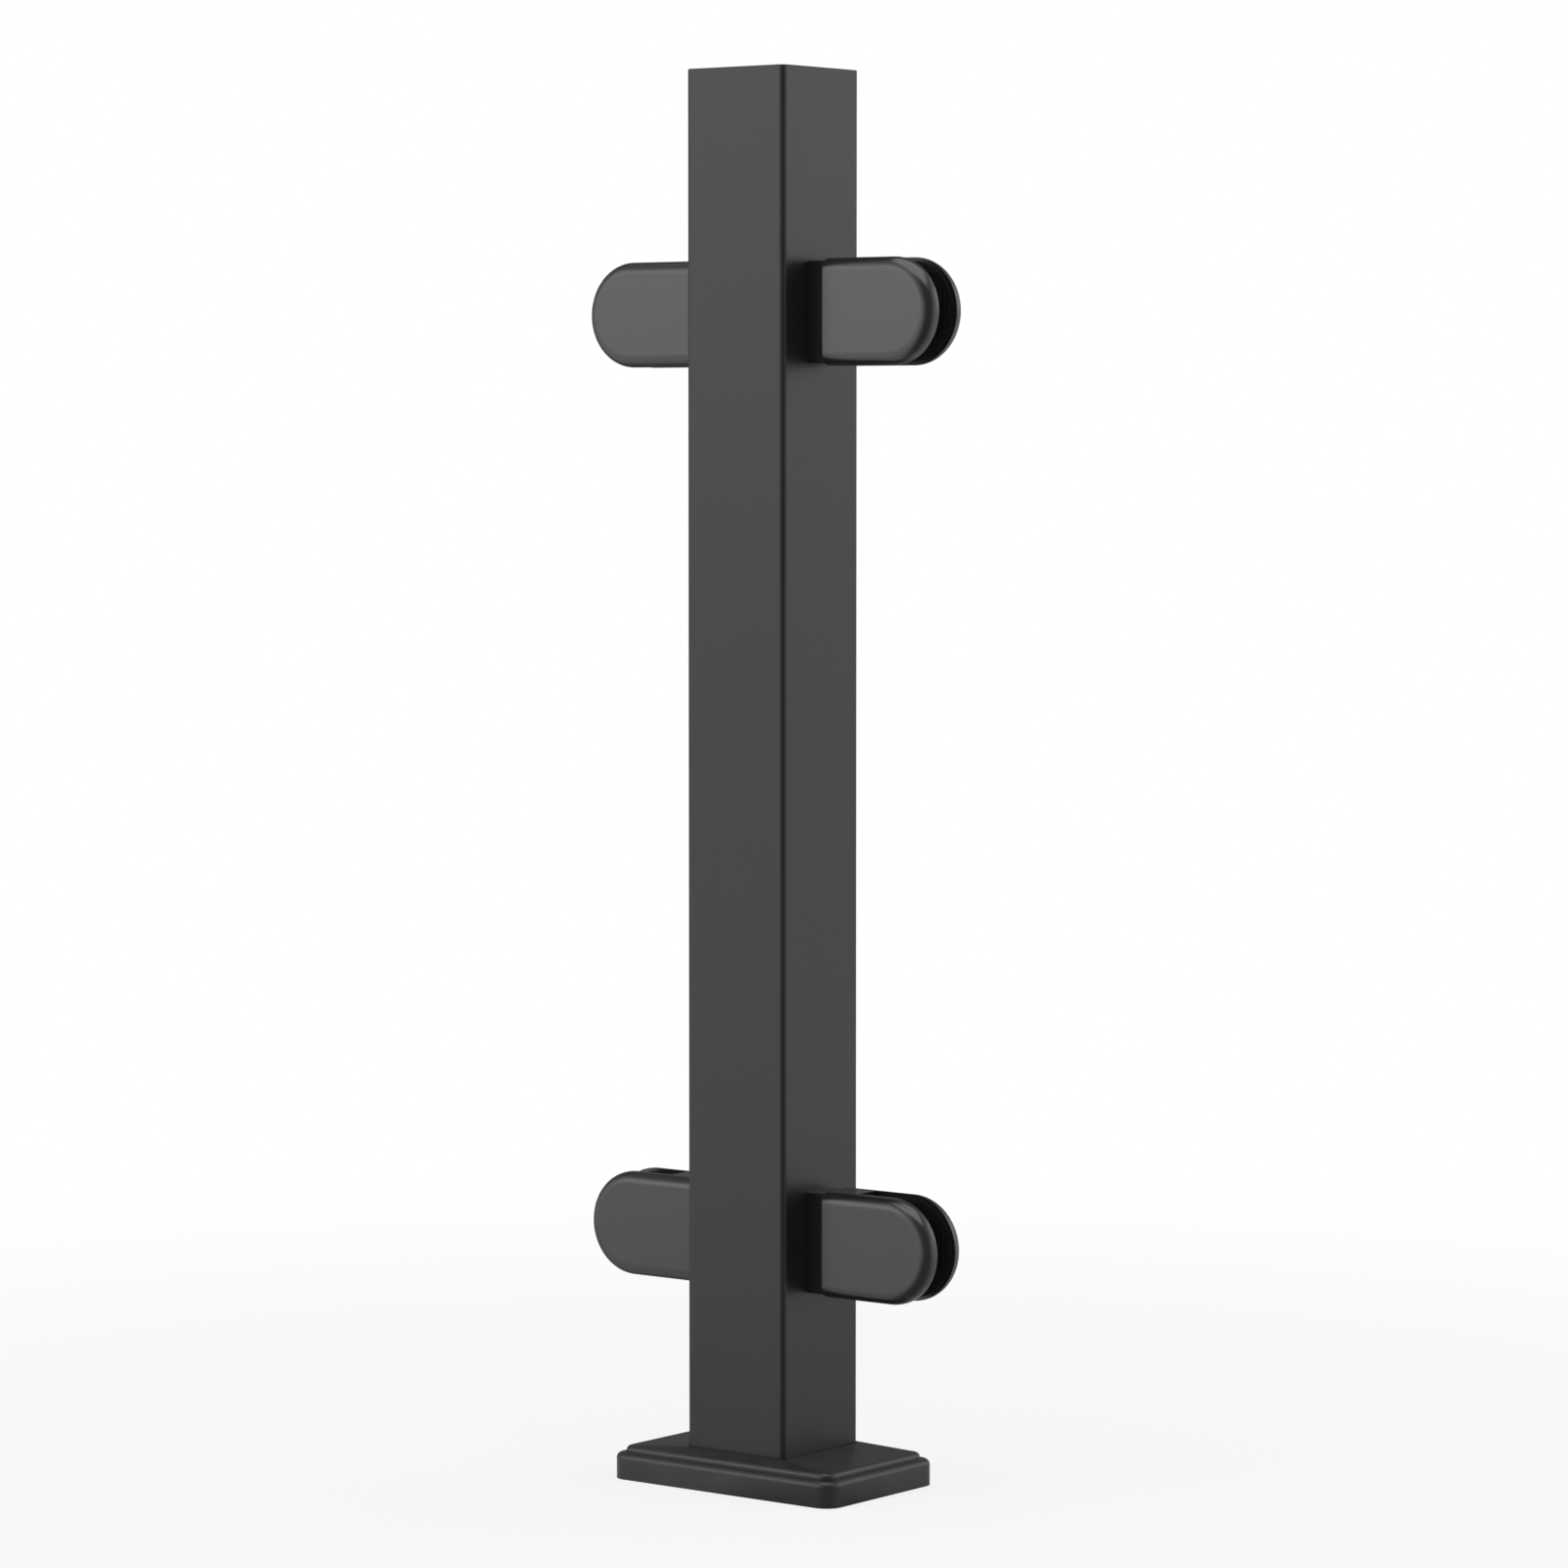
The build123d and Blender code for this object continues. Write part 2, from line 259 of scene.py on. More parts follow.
@dataclass(frozen=True)
class Coat:
    """Sprayed coat on metal, with a fine peel, faint clouds and faint upright streaks."""

    name: str
    colour: Colour
    roughness: float
    specular: float
    metallic: float
    peel_cells: float = 1100.0
    peel_height: float = 0.012 * MM
    peel_strength: float = 0.35
    cloud_cells: float = 26.0
    cloud_depth: float = 0.10
    cloud_roughness: float = 0.10
    streak_cells: float = 420.0
    streak_depth: float = 0.05
    streak_roughness: float = 0.06
    streak_octaves: float = 3.0
    streak_stretch: Vector = Vector((1.0, 1.0, 0.03))

    def material(self) -> bpy.types.Material:
        """Builds the coat's node material.

        Returns:
            The material.
        """
        made, tree = blank_material(self.name)
        at = tree.place()
        clouds = tree.noise(at, self.cloud_cells)
        streaks = tree.noise(at, self.streak_cells, self.streak_stretch, self.streak_octaves)
        peel = tree.noise(at, self.peel_cells, detail=1.0)
        shade = clouds.around(1.0, self.cloud_depth) + streaks.around(0.0, self.streak_depth)
        rough = clouds.around(self.roughness, self.cloud_roughness)
        tree.finished({
            "Base Color": tree.tinted(self.colour, shade),
            "Roughness": rough + streaks.around(0.0, self.streak_roughness),
            "Normal": tree.bump(peel, self.peel_height, self.peel_strength),
            "Specular IOR Level": self.specular, "Metallic": self.metallic,
        })
        return made


@dataclass(frozen=True)
class Rubber:
    """Moulded black rubber, dull and slightly dusty."""

    name: str
    colour: Colour
    roughness: float = 0.72
    specular: float = 0.25
    dust_cells: float = 180.0
    dust_depth: float = 0.4
    dust_roughness: float = 0.2
    pore_cells: float = 2600.0
    pore_height: float = 0.02 * MM
    pore_strength: float = 0.4

    def material(self) -> bpy.types.Material:
        """Builds the rubber's node material.

        Returns:
            The material.
        """
        made, tree = blank_material(self.name)
        at = tree.place()
        dust = tree.noise(at, self.dust_cells)
        pores = tree.noise(at, self.pore_cells, detail=1.0)
        tree.finished({
            "Base Color": tree.tinted(self.colour, dust.around(1.0, self.dust_depth)),
            "Roughness": dust.around(self.roughness, self.dust_roughness),
            "Normal": tree.bump(pores, self.pore_height, self.pore_strength),
            "Specular IOR Level": self.specular,
        })
        return made


@dataclass(frozen=True)
class Steel:
    """Turned stainless steel with fine scratches."""

    name: str
    colour: Colour
    roughness: float = 0.32
    scratch_cells: float = 2200.0
    scratch_octaves: float = 3.0
    scratch_stretch: Vector = Vector((1.0, 1.0, 0.15))
    scratch_depth: float = 0.3
    scratch_roughness: float = 0.15
    scratch_height: float = 0.01 * MM
    scratch_strength: float = 0.3

    def material(self) -> bpy.types.Material:
        """Builds the steel's node material.

        Returns:
            The material.
        """
        made, tree = blank_material(self.name)
        at = tree.place()
        scratches = tree.noise(at, self.scratch_cells, self.scratch_stretch, self.scratch_octaves)
        tree.finished({
            "Base Color": tree.tinted(self.colour, scratches.around(1.0, self.scratch_depth)),
            "Roughness": scratches.around(self.roughness, self.scratch_roughness),
            "Normal": tree.bump(scratches, self.scratch_height, self.scratch_strength),
            "Metallic": 1.0,
        })
        return made


@dataclass(frozen=True)
class Moulding:
    """Matt moulded plastic with a spark-eroded grain."""

    name: str
    colour: Colour
    roughness: float = 0.55
    cloud_cells: float = 60.0
    cloud_depth: float = 0.2
    cloud_roughness: float = 0.1
    grain_cells: float = 3000.0
    grain_height: float = 0.03 * MM
    grain_strength: float = 0.5

    def material(self) -> bpy.types.Material:
        """Builds the plastic's node material.

        Returns:
            The material.
        """
        made, tree = blank_material(self.name)
        at = tree.place()
        clouds = tree.noise(at, self.cloud_cells)
        grain = tree.noise(at, self.grain_cells, detail=1.0)
        tree.finished({
            "Base Color": tree.tinted(self.colour, clouds.around(1.0, self.cloud_depth)),
            "Roughness": clouds.around(self.roughness, self.cloud_roughness),
            "Normal": tree.bump(grain, self.grain_height, self.grain_strength),
        })
        return made


def blank_material(name: str) -> tuple[bpy.types.Material, Tree]:
    """Makes an empty node material.

    Args:
        name: The material's name.

    Returns:
        The material and its tree.
    """
    made = bpy.data.materials.new(name)
    made.use_nodes = True
    return made, Tree(made.node_tree)


class Finishes:
    """Every finish of the post, made once."""

    def __init__(self) -> None:
        """Builds the materials."""
        self.post = Coat("post_coat", (0.062, 0.062, 0.0625), roughness=0.34, specular=0.5,
                         metallic=0.82).material()
        self.clamp = Coat("clamp_coat", (0.093, 0.093, 0.094), roughness=0.24, specular=0.5,
                          metallic=0.88, streak_depth=0.0).material()
        self.cover = Coat("cover_coat", (0.069, 0.069, 0.0696), roughness=0.34, specular=0.5,
                          metallic=0.66, cloud_cells=90.0, cloud_depth=0.25, streak_depth=0.0).material()
        self.flange = Coat("flange_coat", (0.04, 0.04, 0.0403), roughness=0.6, specular=0.3,
                           metallic=0.0).material()
        self.rubber = Rubber("gasket_rubber", (0.007, 0.007, 0.007)).material()
        self.steel = Steel("screw_steel", (0.42, 0.42, 0.43)).material()
        self.plastic = Moulding("cap_plastic", (0.025, 0.025, 0.025)).material()


def dress(node: str, material: bpy.types.Material) -> None:
    """Gives a construction node a finish.

    Args:
        node: The node's name.
        material: The finish.
    """
    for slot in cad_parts[node].material_slots:
        slot.material = material
    log.info("%s dressed with %s", node, material.name)


# Geometry trees

class GeometryTree(Tree):
    """A geometry node tree with named inputs, run once and turned into a plain mesh."""

    def __init__(self, name: str) -> None:
        """Starts an empty tree with a geometry input and output.

        Args:
            name: The tree's name.
        """
        super().__init__(bpy.data.node_groups.new(name, "GeometryNodeTree"))
        self.tree.interface.new_socket("Geometry", in_out="INPUT", socket_type="NodeSocketGeometry")
        self.tree.interface.new_socket("Geometry", in_out="OUTPUT", socket_type="NodeSocketGeometry")
        self.keys: dict[str, str] = {}

    def inputs(self, sizes: dict[str, Any]) -> dict[str, Sock]:
        """Adds a named input for each size.

        Args:
            sizes: Names with a value of the input's type: float, int or material.

        Returns:
            An output for each name, and "Geometry" for the mesh that comes in.
        """
        kinds = {float: "NodeSocketFloat", int: "NodeSocketInt", bpy.types.Material: "NodeSocketMaterial"}
        for name, value in sizes.items():
            made = self.tree.interface.new_socket(name, in_out="INPUT", socket_type=kinds[type(value)])
            self.keys[name] = made.identifier
        group = self.tree.nodes.new("NodeGroupInput")
        return {name: Sock(self, group.outputs[name]) for name in ["Geometry", *sizes]}

    def lifted(self, geometry: Sock, height: Sock) -> Sock:
        """Moves geometry along Z.

        Args:
            geometry: What moves.
            height: How far up.

        Returns:
            The moved geometry.
        """
        up = self.add("ShaderNodeCombineXYZ", None, {"Z": height})
        return self.add("GeometryNodeTransform", None, {"Geometry": geometry, "Translation": up})

    def rod(self, radius: Sock, low: Number, high: Number, sides: int, rings: int = 1) -> Sock:
        """Makes an upright cylinder or prism.

        Args:
            radius: Its radius, over the corners.
            low: Height of its lower end.
            high: Height of its upper end.
            sides: Number of flat sides.
            rings: Number of equal steps up its side.

        Returns:
            The cylinder.
        """
        made = self.add("GeometryNodeMeshCylinder", {"fill_type": "NGON"}, {
            "Vertices": sides, "Side Segments": rings, "Radius": radius, "Depth": high - low})
        return self.lifted(made, (high + low) * 0.5)

    def joined(self, *parts: Sock) -> Sock:
        """Joins geometry, in order.

        Args:
            parts: What is joined.

        Returns:
            The joined geometry.
        """
        made = self.add("GeometryNodeJoinGeometry")
        for part in parts:
            self.tree.links.new(part.socket, made.socket.node.inputs[0])
        return made

    def row(self, shape: Sock, count: Number, first: Sock, step: Sock,
            scale: Sock | Colour = (1.0, 1.0, 1.0)) -> Sock:
        """Sets copies of a shape along a straight line.

        Args:
            shape: The shape.
            count: Number of copies.
            first: Place of the first.
            step: Way from each copy to the next.
            scale: Factors on each axis.

        Returns:
            The copies, as instances.
        """
        line = self.add("GeometryNodeMeshLine", {"mode": "OFFSET"},
                        {"Count": count, "Start Location": first, "Offset": step})
        return self.add("GeometryNodeInstanceOnPoints", None,
                        {"Points": line, "Instance": shape, "Scale": scale})

    def realised(self, geometry: Sock, material: Sock) -> None:
        """Ends the tree with real geometry and one material.

        Args:
            geometry: What the tree made.
            material: The material input.
        """
        real = self.add("GeometryNodeRealizeInstances", None, {0: geometry})
        painted = self.add("GeometryNodeSetMaterial", None, {"Geometry": real, "Material": material})
        self.add("NodeGroupOutput", None, {0: painted})

    def run(self, name: str, sizes: dict[str, Any],
            start: bpy.types.Mesh | None = None) -> bpy.types.Mesh:
        """Runs the tree on a mesh.

        Args:
            name: Name of the resulting mesh.
            sizes: A value for each named input.
            start: The mesh that comes in, or none.

        Returns:
            The result as a plain mesh.
        """
        carrier = bpy.data.objects.new(name + "_carrier", start or bpy.data.meshes.new(name + "_start"))
        bpy.context.scene.collection.objects.link(carrier)
        modifier = carrier.modifiers.new("shape", "NODES")
        modifier.node_group = self.tree
        for key, value in sizes.items():
            modifier[self.keys[key]] = value
        graph = bpy.context.evaluated_depsgraph_get()
        made = bpy.data.meshes.new_from_object(carrier.evaluated_get(graph), depsgraph=graph)
        made.name = name
        carrier.modifiers.remove(modifier)
        bpy.data.objects.remove(carrier)
        return made


def piece(name: str, mesh: bpy.types.Mesh, body: str, node: str,
          smooth_angle: float) -> None:
    """Places a finished mesh as a piece that stands for a construction node.

    Args:
        name: The piece's name.
        mesh: Its mesh, already in place.
        body: The body it rides on.
        node: The node it stands for.
        smooth_angle: Smooth shading below this angle, in degrees.
    """
    made = bpy.data.objects.new(name, mesh)
    bpy.context.scene.collection.objects.link(made)
    for face in mesh.polygons:
        face.use_smooth = True
    mesh.set_sharp_from_angle(angle=math.radians(smooth_angle))
    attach(made, body)
    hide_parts(node)
    log.info("%s rides on %s, %d faces", name, body, len(mesh.polygons))


# The post's own pieces

@dataclass(frozen=True)
class Screw:
    """Sizes of a socket head screw, in metres."""

    thread: float
    head: float
    head_height: float
    key: float
    key_depth: float
    pitch: float

    def inputs(self, length: float, count: int, spacing: float,
               material: bpy.types.Material) -> dict[str, Any]:
        """Inputs of the screw tree.

        Args:
            length: From the top of the head to the tip.
            count: Screws side by side.
            spacing: Distance between them.
            material: Their finish.

        Returns:
            A value for each named input.
        """
        return {
            "Count": count, "Spacing": spacing, "Thread Radius": self.thread / 2,
            "Head Radius": self.head / 2, "Head Height": self.head_height, "Length": length,
            "Key Radius": self.key / math.sqrt(3), "Key Depth": self.key_depth, "Pitch": self.pitch,
            "Material": material,
        }


FIXING_SCREW = Screw(thread=6 * MM, head=10 * MM, head_height=6 * MM, key=5 * MM, key_depth=3 * MM,
                     pitch=1.0 * MM)
JAW_SCREW = Screw(thread=5 * MM, head=8.5 * MM, head_height=5 * MM, key=4 * MM, key_depth=2.5 * MM,
                  pitch=0.8 * MM)


@dataclass
class GlassClamp:
    """A clamp on one side of the post: its coat, its rubber pads and its screws."""

    level: Level
    side: Side
    finishes: Finishes
    pad_tree: GeometryTree
    screw_tree: GeometryTree
    pad_web: float = 0.55 * MM
    pad_thick: float = 1.0 * MM
    rib_pitch: float = 2.4 * MM
    rib_radius: float = 0.42 * MM
    rib_margin: float = 1.6 * MM
    pad_edge: float = 0.18 * MM
    peg_radius: float = 1.9 * MM
    peg_edge: float = 9.0 * MM
    peg_root: float = 0.3 * MM
    arc_points: int = 40
    pad_smooth: float = 35.0
    screw_smooth: float = 30.0

    @property
    def key(self) -> str:
        """Start of the clamp's node names."""
        return f"{self.level.value}_{self.side.name.lower()}"

    def build(self) -> None:
        """Dresses the clamp and makes its pads and screws."""
        dress(f"{self.key}_clamp_body", self.finishes.clamp)
        dress(f"{self.key}_front_jaw", self.finishes.clamp)
        dress(f"{self.key}_rivet_nut", self.finishes.steel)
        for jaw in Jaw:
            self.pad(jaw)
        self.fixing_screw()
        self.jaw_screws()

    def pad(self, jaw: Jaw) -> None:
        """Makes a ribbed rubber pad on one jaw.

        Args:
            jaw: The jaw that the pad lies on.
        """
        node = f"{self.key}_{jaw.name.lower()}_gasket"
        low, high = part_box(node)
        sign = self.side.value
        start, end = sorted((abs(low.x), abs(high.x)))
        middle, radius = (low.z + high.z) / 2, (high.z - low.z) / 2
        glass, peg_end = (low.y, high.y) if jaw is Jaw.REAR else (high.y, low.y)
        seat = glass + jaw.value * self.pad_thick
        web = seat - jaw.value * self.pad_web
        centre = end - radius
        count = int((end - start - 2 * self.rib_margin) / self.rib_pitch) + 1
        first = start + self.rib_margin
        peg_start = seat - jaw.value * self.peg_root
        flat = self.pad_plate(start, centre, radius, middle, seat, web)
        sizes = {
            "Count": count, "First": first, "Pitch": self.rib_pitch, "Sign": float(sign),
            "Round Centre": centre, "Round Radius": radius - self.rib_margin, "Face": web,
            "Middle": middle, "Rib Radius": self.rib_radius, "First Peg": start + self.peg_edge,
            "Peg Step": centre - start, "Peg Middle": (peg_start + peg_end) / 2,
            "Peg Radius": self.peg_radius, "Peg Length": abs(peg_end - peg_start),
            "Material": self.finishes.rubber,
        }
        mesh = self.pad_tree.run(node + "_ribbed", sizes, flat)
        body = f"{self.key}_jaw" if jaw is Jaw.FRONT else "root"
        piece(node + "_ribbed", mesh, body, node, self.pad_smooth)

    def pad_plate(self, start: float, centre: float, radius: float, middle: float,
                  seat: float, web: float) -> bpy.types.Mesh:
        """Makes the pad's plain plate.

        Args:
            start: Straight edge beside the block, from the middle of the post.
            centre: Centre of the round end.
            radius: Radius of the round end and half the height.
            middle: Height of the clamp's middle.
            seat: Y of the face on the jaw.
            web: Y of the face under the ribs.

        Returns:
            The plate, with a bevelled edge towards the glass.
        """
        edge = self.pad_edge
        angles = [math.pi * (step / self.arc_points - 0.5) for step in range(self.arc_points + 1)]
        rings = []
        for y, inset in ((seat, 0.0), (web + math.copysign(edge, seat - web), 0.0), (web, edge)):
            reach = radius - inset
            ring = [(start + inset, y, middle - reach)]
            ring += [(centre + reach * math.cos(a), y, middle + reach * math.sin(a)) for a in angles]
            ring.append((start + inset, y, middle + reach))
            rings.append([Vector((out * self.side.value, across, up)) for out, across, up in ring])
        return stacked_rings("pad_plate", rings)

    def fixing_screw(self) -> None:
        """Makes the threaded screw at the bottom of the slot."""
        node = f"{self.key}_fixing_screw"
        low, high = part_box(node)
        sign = self.side.value
        head_end = max(abs(low.x), abs(high.x))
        place = Matrix.Translation((sign * head_end, 0.0, (low.z + high.z) / 2))
        place @= Matrix.Rotation(math.radians(90 * sign), 4, "Y")
        sizes = FIXING_SCREW.inputs(high.x - low.x, count=1, spacing=0.0, material=self.finishes.steel)
        self.screws(node, sizes, place)

    def jaw_screws(self) -> None:
        """Makes the pair of threaded screws at the back of the clamp."""
        node = f"{self.key}_jaw_screws"
        low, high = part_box(node)
        spacing = high.z - low.z - JAW_SCREW.head
        place = Matrix.Translation(((low.x + high.x) / 2, high.y, (low.z + high.z) / 2))
        place @= Matrix.Rotation(math.radians(-90), 4, "X")
        place @= Matrix.Rotation(math.radians(90), 4, "Z")
        sizes = JAW_SCREW.inputs(high.y - low.y, count=2, spacing=spacing, material=self.finishes.steel)
        self.screws(node, sizes, place)

    def screws(self, node: str, sizes: dict[str, Any], place: Matrix) -> None:
        """Makes the threaded screws that stand for a node.

        Args:
            node: The node's name.
            sizes: A value for each input of the screw tree.
            place: Turns them from upright and sets their heads in place.
        """
        mesh = self.screw_tree.run(node + "_threaded", sizes)
        mesh.transform(place)
        piece(node + "_threaded", mesh, "root", node, self.screw_smooth)


def stacked_rings(name: str, rings: list[list[Vector]]) -> bpy.types.Mesh:
    """Joins rings of equal count into a closed shell.

    Args:
        name: The mesh's name.
        rings: Rings of points from one end to the other.

    Returns:
        The shell, with its faces outward.
    """
    mesh = bpy.data.meshes.new(name)
    shell = bmesh.new()
    rows = [[shell.verts.new(point) for point in ring] for ring in rings]
    for lower, upper in zip(rows, rows[1:]):
        for i in range(len(lower)):
            j = (i + 1) % len(lower)
            shell.faces.new((lower[i], lower[j], upper[j], upper[i]))
    shell.faces.new(rows[0])
    shell.faces.new(rows[-1])
    bmesh.ops.recalc_face_normals(shell, faces=shell.faces)
    shell.to_mesh(mesh)
    shell.free()
    return mesh


def pad_rib_tree() -> GeometryTree:
    """Tree that lays upright half-round ribs over a pad's plate and sets two pegs behind it.

    Returns:
        The tree, which takes the plate as its mesh.
    """
    rib_sides, peg_sides, peg_count = 12, 32, 2
    tree = GeometryTree("pad_ribs")
    size = tree.inputs({
        "Count": 1, "First": 0.0, "Pitch": 0.0, "Sign": 1.0, "Round Centre": 0.0, "Round Radius": 0.0,
        "Face": 0.0, "Middle": 0.0, "Rib Radius": 0.0, "First Peg": 0.0, "Peg Step": 0.0,
        "Peg Middle": 0.0, "Peg Radius": 0.0, "Peg Length": 0.0, "Material": bpy.data.materials[0],
    })
    first = tree.add("ShaderNodeCombineXYZ", None, {
        "X": size["First"] * size["Sign"], "Y": size["Face"], "Z": size["Middle"]})
    step = tree.add("ShaderNodeCombineXYZ", None, {"X": size["Pitch"] * size["Sign"]})
    place = tree.add("GeometryNodeInputPosition")
    along = tree.add("ShaderNodeSeparateXYZ", None, {0: place}) * size["Sign"]
    past = (along - size["Round Centre"]).maximum(0.0)
    half = (size["Round Radius"] * size["Round Radius"] - past * past).maximum(0.0).root()
    scale = tree.add("ShaderNodeCombineXYZ", None, {"X": 1.0, "Y": 1.0, "Z": half})
    # Two metres long around its middle, so that its scale along Z is half its height.
    rib = tree.add("GeometryNodeMeshCylinder", {"fill_type": "NGON"},
                   {"Vertices": rib_sides, "Radius": size["Rib Radius"], "Depth": 2.0})
    ribs = tree.row(rib, size["Count"], first, step, scale)
    upright = tree.add("GeometryNodeMeshCylinder", {"fill_type": "NGON"},
                       {"Vertices": peg_sides, "Radius": size["Peg Radius"], "Depth": size["Peg Length"]})
    peg = tree.add("GeometryNodeTransform", None,
                   {"Geometry": upright, "Rotation": (math.radians(90), 0.0, 0.0)})
    first_peg = tree.add("ShaderNodeCombineXYZ", None, {
        "X": size["First Peg"] * size["Sign"], "Y": size["Peg Middle"], "Z": size["Middle"]})
    peg_step = tree.add("ShaderNodeCombineXYZ", None, {"X": size["Peg Step"] * size["Sign"]})
    pegs = tree.row(peg, peg_count, first_peg, peg_step)
    tree.realised(tree.joined(size["Geometry"], ribs, pegs), size["Material"])
    return tree


def screw_tree() -> GeometryTree:
    """Tree that makes socket head screws side by side, heads up, with their tops at zero.

    Returns:
        The tree, which takes no mesh.
    """
    head_sides, head_rings, core_sides, ridge_sides, turn_points = 48, 16, 32, 6, 24
    edge_share, edge_scale = 0.12, 0.9
    core_sink, core_overlap, ridge_share, plain_turns = 0.55, 0.5, 0.3, 2.0
    tree = GeometryTree("screws")
    size = tree.inputs({
        "Count": 1, "Spacing": 0.0, "Thread Radius": 0.0, "Head Radius": 0.0, "Head Height": 0.0,
        "Length": 0.0, "Key Radius": 0.0, "Key Depth": 0.0, "Pitch": 0.0,
        "Material": bpy.data.materials[0],
    })
    head_low, tip = -size["Head Height"], -size["Length"]
    barrel = tree.rod(size["Head Radius"], head_low, 0.0, head_sides, head_rings)
    place = tree.add("GeometryNodeInputPosition")
    height = tree.add("ShaderNodeSeparateXYZ", None, {0: place}, "Z")
    narrowed = height.ramp(size["Head Radius"] * -edge_share, 0.0, 1.0, edge_scale)
    scale = tree.add("ShaderNodeCombineXYZ", None, {"X": narrowed, "Y": narrowed, "Z": 1.0})
    drawn_in = tree.add("ShaderNodeVectorMath", {"operation": "MULTIPLY"}, {0: place, 1: scale})
    blank = tree.add("GeometryNodeSetPosition", None, {"Geometry": barrel, "Position": drawn_in})
    hexagon = tree.rod(size["Key Radius"], -size["Key Depth"], size["Key Depth"], 6)
    head = tree.add("GeometryNodeMeshBoolean", {"operation": "DIFFERENCE", "solver": "EXACT"},
                    {0: blank, 1: hexagon})
    core = tree.rod(size["Thread Radius"] - size["Pitch"] * core_sink, tip,
                    head_low + size["Pitch"] * core_overlap, core_sides)
    turns = (size["Length"] - size["Head Height"]) / size["Pitch"] - plain_turns
    ridge_radius = size["Pitch"] * ridge_share
    helix_radius = size["Thread Radius"] - ridge_radius
    helix = tree.add("GeometryNodeCurveSpiral", None, {
        "Resolution": turn_points, "Rotations": turns, "Start Radius": helix_radius,
        "End Radius": helix_radius, "Height": turns * size["Pitch"]})
    ridge = tree.add("GeometryNodeCurvePrimitiveCircle", {"mode": "RADIUS"},
                     {"Resolution": ridge_sides, "Radius": ridge_radius})
    thread = tree.add("GeometryNodeCurveToMesh", None,
                      {"Curve": helix, "Profile Curve": ridge, "Fill Caps": True})
    screw = tree.joined(head, core, tree.lifted(thread, tip + size["Pitch"]))
    first = tree.add("ShaderNodeCombineXYZ", None, {"X": (size["Count"] - 1.0) * size["Spacing"] * -0.5})
    step = tree.add("ShaderNodeCombineXYZ", None, {"X": size["Spacing"]})
    tree.realised(tree.row(screw, size["Count"], first, step), size["Material"])
    return tree


@dataclass
class Foot:
    """Floor flange, its weld and the cover that slides over them."""

    finishes: Finishes
    weld_leg: float = 4.0 * MM
    weld_toe: float = 0.3 * MM
    weld_crown: float = 2.6 * MM
    weld_round: float = 2.5 * MM
    tube_corner: float = 2.5 * MM
    ripple_spacing: float = 1.3 * MM
    ripple_depth: float = 0.07
    ripple_steps: int = 6
    crown_index: float = 2.0
    crown_steps: int = 5
    weld_smooth: float = 40.0

    def build(self) -> None:
        """Dresses the foot and makes the rippled weld."""
        dress("base_flange", self.finishes.flange)
        dress("base_cover", self.finishes.cover)
        self.weld()

    def weld(self) -> None:
        """Makes the weld as one rippled bead that is swept round the tube."""
        low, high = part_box("weld_bead")
        side = high.x - low.x - 2 * self.weld_leg
        way_round = 4 * side - (8 - 2 * math.pi) * self.tube_corner
        ripples = round(way_round / self.ripple_spacing)
        sizes = {
            "Side": side, "Corner": self.tube_corner, "Height": low.z, "Leg": self.weld_leg,
            "Toe": self.weld_toe, "Crown": self.weld_crown, "Round": self.weld_round, "Ripples": ripples,
            "Steps": ripples * self.ripple_steps, "Depth": self.ripple_depth,
            "Material": self.finishes.flange,
        }
        tree = GeometryTree("weld_ripples")
        size = tree.inputs(sizes)
        square = tree.add("GeometryNodeCurvePrimitiveQuadrilateral", {"mode": "RECTANGLE"},
                          {0: size["Side"], 1: size["Side"]})
        rounded = tree.add("GeometryNodeFilletCurve", None,
                           {"Curve": square, "Radius": size["Corner"], "Limit Radius": True})
        path = tree.add("GeometryNodeResampleCurve", {"mode": "COUNT"},
                        {"Curve": rounded, "Count": size["Steps"]})
        level = tree.add("GeometryNodeSetCurveNormal", {"mode": "Z_UP"}, {"Curve": path})
        along = tree.add("GeometryNodeSplineParameter", out="Factor") * size["Ripples"] * (2 * math.pi)
        wave = 1.0 - (along.math("SINE", along) + 1.0) * size["Depth"] * 0.5
        bead = tree.add("GeometryNodeCurveToMesh", None,
                        {"Curve": level, "Profile Curve": self.bead_profile(tree, size), "Scale": wave})
        tree.realised(tree.lifted(bead, size["Height"]), size["Material"])
        mesh = tree.run("weld_ripples", sizes)
        piece("weld_ripples", mesh, "root", "weld_bead", self.weld_smooth)

    def bead_profile(self, tree: GeometryTree, size: dict[str, Sock]) -> Sock:
        """Makes the bead's section, with its corner between tube and flange at zero.

        Args:
            tree: The weld's tree.
            size: The tree's inputs.

        Returns:
            The section, as a closed curve with a round crown.
        """
        foot = tree.add("ShaderNodeCombineXYZ", None, {"X": size["Leg"]})
        crown = tree.add("ShaderNodeCombineXYZ", None, {"X": size["Crown"], "Y": -size["Crown"]})
        toe = tree.add("ShaderNodeCombineXYZ", None, {"X": size["Toe"], "Y": -size["Leg"]})
        kite = tree.add("GeometryNodeCurvePrimitiveQuadrilateral", {"mode": "POINTS"}, {
            "Point 1": (0.0, 0.0, 0.0), "Point 2": toe, "Point 3": crown, "Point 4": foot})
        index = tree.add("GeometryNodeInputIndex")
        tolerance = 0.1
        radius = index.math("COMPARE", index, self.crown_index, tolerance) * size["Round"]
        return tree.add("GeometryNodeFilletCurve", {"mode": "POLY"}, {
            "Curve": kite, "Count": self.crown_steps, "Radius": radius, "Limit Radius": True})


@dataclass
class Post:
    """The square tube and the plug in its end."""

    finishes: Finishes

    def build(self) -> None:
        """Dresses the tube and the plug."""
        dress("post_tube", self.finishes.post)
        dress("post_cap", self.finishes.plastic)


# Studio

